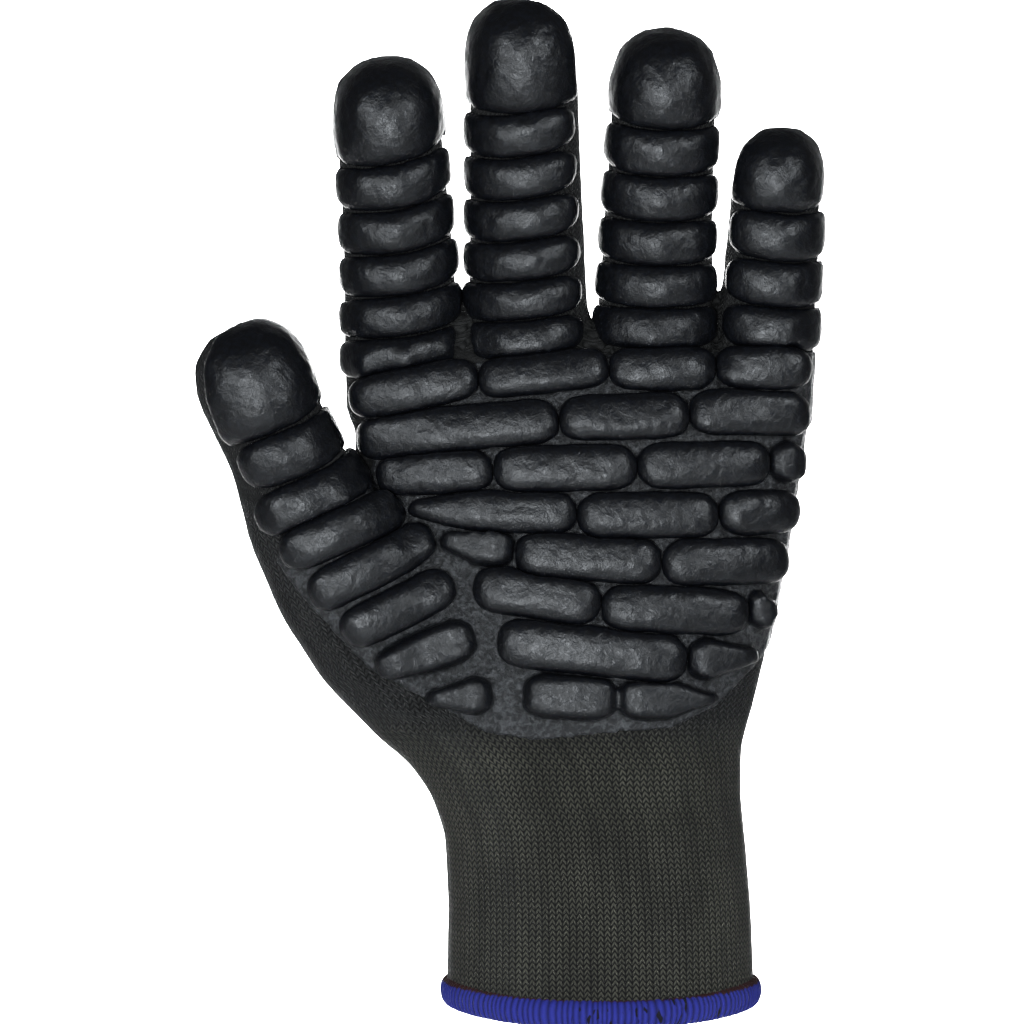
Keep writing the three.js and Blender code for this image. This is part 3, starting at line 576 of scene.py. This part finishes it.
def girth_table(points):
    """Share of the way round the hand at each height and angle, measured along the cloth."""
    heights = np.arange(0.0, RING_TOP, RING_STEP)
    edges = np.linspace(-math.pi, math.pi, RING_SECTORS + 1)
    centres = np.empty(len(heights))
    rows = np.empty((len(heights), len(edges)))
    for row, height in enumerate(heights):
        ring = points[np.abs(points[:, 2] - height) < RING_STEP]
        if len(ring) < FEWEST_POINTS:
            centres[row] = centres[row - 1] if row else 0.0
            rows[row] = rows[row - 1] if row else np.linspace(0, 1, len(edges))
            continue
        centres[row] = (ring[:, 0].min() + ring[:, 0].max()) / 2
        side = ring[:, 0] - centres[row]
        angle = np.arctan2(side, -ring[:, 1])
        reach = np.hypot(side, ring[:, 1])
        order = np.argsort(angle)
        radius = np.interp(edges, angle[order], reach[order], period=2 * math.pi)
        x, y = radius * np.sin(edges), radius * np.cos(edges)
        length = np.concatenate([[0], np.cumsum(np.hypot(np.diff(x), np.diff(y)))])
        rows[row] = length / length[-1]
    return heights, centres, edges, rows


def palm_map(points):
    """Share of the way round the palm or cuff, for each point."""
    heights, centres, edges, rows = girth_table(points)
    level = np.clip(points[:, 2] / (heights[1] - heights[0]), 0, len(heights) - JUST_INSIDE)
    low = level.astype(int)
    part = level - low
    centre = centres[low] * (1 - part) + centres[low + 1] * part
    angle = np.arctan2(points[:, 0] - centre, -points[:, 1])
    column = (angle + math.pi) / (edges[1] - edges[0])
    column = np.clip(column, 0, len(edges) - JUST_INSIDE)
    left = column.astype(int)
    share = column - left
    under = rows[low, left] * (1 - share) + rows[low, left + 1] * share
    over = rows[low + 1, left] * (1 - share) + rows[low + 1, left + 1] * share
    return under * (1 - part) + over * part


def whole_wales(radius):
    """A girth that holds a whole number of stitches."""
    return round(2 * math.pi * radius / WALE) * WALE


def knit_map(piece):
    """UV map in metres: round the tube, and along it from wrist to fingertip."""
    points = points_of(piece.data)
    turns = [palm_map(points)]
    reaches = [points[:, 2]]
    girths = [whole_wales(WRIST_RADIUS)]
    distances = [np.full(len(points), FINGER_REACH)]
    for finger, (root, tip) in finger_axes().items():
        line = tip - root
        line /= np.linalg.norm(line)
        offset = points - root
        reach = offset @ line
        flat = offset - reach[:, None] * line
        side = np.cross(line, [0, -1, 0])
        side /= np.linalg.norm(side)
        front = np.cross(side, line)
        start = THUMB_START if finger == "thumb" else FINGER_START
        away = np.linalg.norm(flat, axis=1)
        distances.append(np.where(reach > start, away, OUT_OF_REACH))
        turns.append(np.arctan2(-(flat @ side), flat @ front) / (2 * math.pi))
        reaches.append(root[2] + reach)
        girths.append(whole_wales(FINGER_RADIUS))
    # A face takes its stitches from whatever its first corner is nearest to
    corners, firsts = corner_table(piece.data)
    owner = np.argmin(np.array(distances), axis=0)[firsts]
    turns = np.array(turns)
    around = beside(turns[owner, corners], turns[owner, firsts])
    lay_map(piece.data, "knit", around * np.array(girths)[owner],
            np.array(reaches)[owner, corners])


def make_liner(material):
    liner = whole_glove("knitted_liner")
    smoothed(liner, LINER_SMOOTHING)
    swollen(liner, LINER_SWELL)
    open_mesh(liner)
    bpy.ops.mesh.bisect(plane_co=(0, 0, LINER_MOUTH), plane_no=(0, 0, 1), clear_inner=True)
    close_mesh()
    knit_map(liner)
    apply(liner, "SOLIDIFY", thickness=KNIT_WALL, offset=-1.0)
    return finished(liner, material, KNIT_NODES)


def pulled(piece, name, weights, strength):
    """Moves a piece's vertices outwards by their weights, from 0 to 1."""
    group = piece.vertex_groups.new(name=name)
    for index, weight in enumerate(weights):
        group.add([index], float(weight), "REPLACE")
    apply(piece, "DISPLACE", strength=strength, mid_level=0.0, vertex_group=name)


def make_hem(material):
    """Rolled hem with threads wrapped side by side round it."""
    hem = copied("overlocked_hem", ["cuff_hem"])
    open_mesh(hem)
    bpy.ops.transform.resize(value=(1, 1, HEM_SAG), center_override=(0, 0, HEM_HOLD))
    close_mesh()
    rounded(hem)
    remeshed(hem, HEM_VOXEL)
    smoothed(hem, HEM_SMOOTHING)
    swollen(hem, HEM_SWELL)
    low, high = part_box("cuff_hem")
    points = points_of(hem.data)
    across = (points[:, 0] - (low.x + high.x) / 2) / ((high.x - low.x) / 2)
    level = points[:, 2] - HEM_DIP * np.minimum(np.abs(across), 1) ** HEM_DIP_SHARPNESS
    turn = np.arctan2(points[:, 0] / (high.x - low.x), -points[:, 1] / (high.y - low.y))
    turn /= 2 * math.pi
    wraps = turn * HEM_WRAPS
    for amount, rate in WRAP_DRIFTS:
        wraps = wraps + amount * np.sin(turn * rate)
    pulled(hem, "wraps", np.abs(np.sin(wraps * math.pi)) ** WRAP_ROUND, WRAP_DEPTH)
    corners, firsts = corner_table(hem.data)
    lay_map(hem.data, "hem", beside(wraps[corners], wraps[firsts], HEM_WRAPS), level[corners])
    return finished(hem, material, ["cuff_hem"])


def make_film(material):
    """Thin coat with the small bars that are moulded onto it."""
    film = copied("rubber_film", ["palm_film"])
    remeshed(film, FILM_VOXEL)
    smoothed(film, FILM_SMOOTHING)
    swollen(film, FILM_SWELL)
    dented(film, *FILM_DENTS, Vector(FILM_SHIFT))
    knit = bmesh.new()
    for node in KNIT_NODES:
        knit.from_mesh(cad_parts[node].data)
    cloth = BVHTree.FromBMesh(knit)
    knit.free()
    thick = film.data.attributes.new("thick", "FLOAT", "POINT")
    for index, vertex in enumerate(film.data.vertices):
        reach = cloth.find_nearest(vertex.co)[3]
        thick.data[index].value = min(max((reach - FILM_CLOSE) / FILM_RISE, 0.0), 1.0)
    return finished(film, material, ["palm_film"])


def make_pad(node, index, material):
    piece = copied(node + "_rubber", [node])
    rounded(piece)
    remeshed(piece, PAD_VOXEL)
    smoothed(piece, PAD_SMOOTHING)
    swollen(piece, PAD_SWELL)
    x, y, z = PAD_SHIFT
    shift = Vector((x, y * index, z * (index % PAD_SHIFT_CYCLE)))
    for size, depth in PAD_DENTS:
        dented(piece, size, depth, shift)
    return finished(piece, material, [node])


def placed(name, data, place, aim):
    """A lamp at its place, turned to what it lights."""
    lamp = bpy.data.objects.new(name, data)
    bpy.context.scene.collection.objects.link(lamp)
    lamp.location = place
    lamp.rotation_euler = (Vector(aim) - Vector(place)).to_track_quat("-Z", "Y").to_euler()


def make_camera():
    data = bpy.data.cameras.new("camera")
    data.sensor_width = SENSOR
    data.lens = SENSOR * CAMERA_AWAY / PICTURE_WIDTH
    camera = bpy.data.objects.new("camera", data)
    bpy.context.scene.collection.objects.link(camera)
    camera.location = (PICTURE_MIDDLE[0], -CAMERA_AWAY, PICTURE_MIDDLE[1])
    camera.rotation_euler = (math.radians(90), 0, 0)
    bpy.context.scene.camera = camera


def make_floor():
    """Pale floor that bends up into a wall."""
    deselect()
    bpy.ops.mesh.primitive_plane_add(size=1, location=(0, 0, 0))
    floor = bpy.context.object
    floor.name = "sweep"
    floor.data.transform(Matrix.Translation(FLOOR_PLACE) @ Matrix.Diagonal((*FLOOR_SIZE, 1, 1)))
    open_mesh(floor, "DESELECT")
    bpy.ops.mesh.select_mode(type="EDGE")
    shape = bmesh.from_edit_mesh(floor.data)
    for edge in shape.edges:
        edge.select = all(vertex.co.y > FLOOR_BACK for vertex in edge.verts)
    bmesh.update_edit_mesh(floor.data)
    bpy.ops.mesh.extrude_region_move(TRANSFORM_OT_translate={"value": (0, 0, WALL_HEIGHT)})
    close_mesh()
    apply(floor, "BEVEL", width=BEND_WIDTH, segments=BEND_SEGMENTS)
    floor.data.shade_smooth()
    pale = Nodes("pale_sweep")
    pale.drive("Base Color", pale.mix(pale.noise(pale.place(), **FLOOR_NOISE), *FLOOR_TONES))
    pale.finish({"Roughness": FLOOR_ROUGHNESS})
    floor.data.materials.append(pale.material)


def make_lights():
    for name, (place, watts) in LAMPS.items():
        light = bpy.data.lights.new(name, "AREA")
        light.size = LAMP_SIZE
        light.energy = watts
        light.color = LAMP_TONE
        placed(name, light, place, LAMP_AIM)
    spot = bpy.data.lights.new("sweep", "SPOT")
    spot.energy = SPOT_WATTS
    spot.spot_size = SPOT_ANGLE
    spot.spot_blend = SPOT_BLEND
    spot.shadow_soft_size = SPOT_SIZE
    placed("sweep", spot, SPOT_PLACE, SPOT_AIM)
    world = bpy.data.worlds.new("studio")
    world.use_nodes = True
    fill = world.node_tree.nodes["Background"]
    fill.inputs["Color"].default_value = WORLD_TONE
    fill.inputs["Strength"].default_value = WORLD_STRENGTH
    bpy.context.scene.world = world
    bpy.context.scene.view_settings.view_transform = "Standard"


make_liner(knit_material())
make_hem(hem_material())
make_film(rubber_material("rubber_coat", coated=True))
pad_rubber = rubber_material("foamed_rubber")
pad_nodes = [name for name in NODES
             if "_bar_" in name or "_rib_" in name or name.startswith("tip_pad")]
for number, pad_node in enumerate(pad_nodes):
    make_pad(pad_node, number, pad_rubber)
make_camera()
make_floor()
make_lights()
